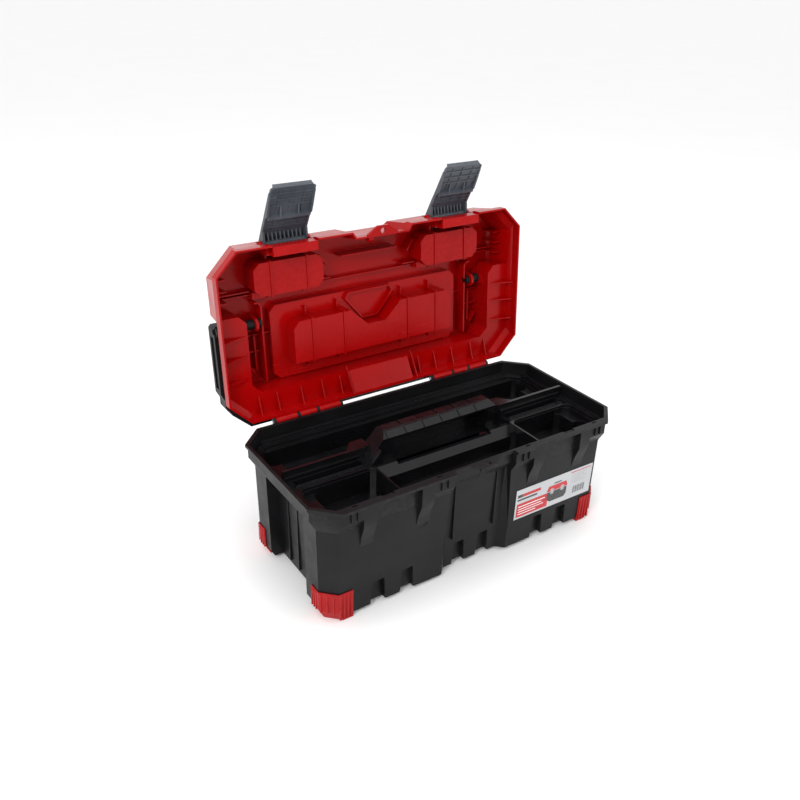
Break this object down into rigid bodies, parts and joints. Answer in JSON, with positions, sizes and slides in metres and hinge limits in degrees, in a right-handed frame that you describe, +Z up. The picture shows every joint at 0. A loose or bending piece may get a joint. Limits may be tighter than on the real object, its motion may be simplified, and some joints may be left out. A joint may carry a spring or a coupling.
{
  "type": "toolbox with tray",
  "caption": "Hinged plastic toolbox with a lift-out tray, folding carry handle, two front latches and corner feet, lid stood open.",
  "frame": {"origin": "centre of the open toolbox's bounding box at floor level, under the four feet", "axes": "+X to the right along the length, +Y from the front to the hinge side, +Z up"},
  "size_m": [0.503, 0.3324, 0.4979],
  "materials": {
    "black_plastic": "fine moulded texture",
    "tray_plastic": "satin",
    "red_plastic": "satin",
    "foot_plastic": "satin",
    "grey_plastic": "satin",
    "handle_plastic": "satin",
    "label_film": "printed film",
    "pin_steel": "plain"
  },
  "bodies": {
    "base": {"base_tub": "black_plastic", "foot_front_left": "foot_plastic", "foot_front_right": "foot_plastic", "foot_rear_left": "foot_plastic", "foot_rear_right": "foot_plastic", "hinge_pin_left": "pin_steel", "hinge_pin_right": "pin_steel", "label": "label_film"},
    "lid": {"lid_shell": "red_plastic", "handle_pin_left": "handle_plastic", "handle_pin_right": "handle_plastic", "latch_pin_left": "pin_steel", "latch_pin_right": "pin_steel"},
    "handle": {"carry_handle": "handle_plastic"},
    "latch_left": {"latch_left": "grey_plastic"},
    "latch_right": {"latch_right": "grey_plastic"},
    "tray": {"tray": "tray_plastic"}
  },
  "joints": [
    {"name": "lid_hinge", "type": "hinge", "parent": "base", "child": "lid", "pos_m": [0, 0.08382, 0.1753], "axis": [1, 0, 0], "range_deg": [0, 94.3]},
    {"name": "tray_lift", "type": "slide", "parent": "base", "child": "tray", "axis": [0, 0, -1], "range_m": [-0.2, 0]},
    {"name": "handle_swing", "type": "hinge", "parent": "lid", "child": "handle", "pos_m": [0, 0.13852, 0.30256], "axis": [1, 0, 0], "range_deg": [0, 90]},
    {"name": "latch_left_swing", "type": "hinge", "parent": "lid", "child": "latch_left", "pos_m": [-0.136, 0.13775, 0.41242], "axis": [1, 0, 0], "range_deg": [0, 58]},
    {"name": "latch_right_swing", "type": "hinge", "parent": "lid", "child": "latch_right", "pos_m": [0.136, 0.13775, 0.41242], "axis": [1, 0, 0], "range_deg": [0, 57]}
  ]
}
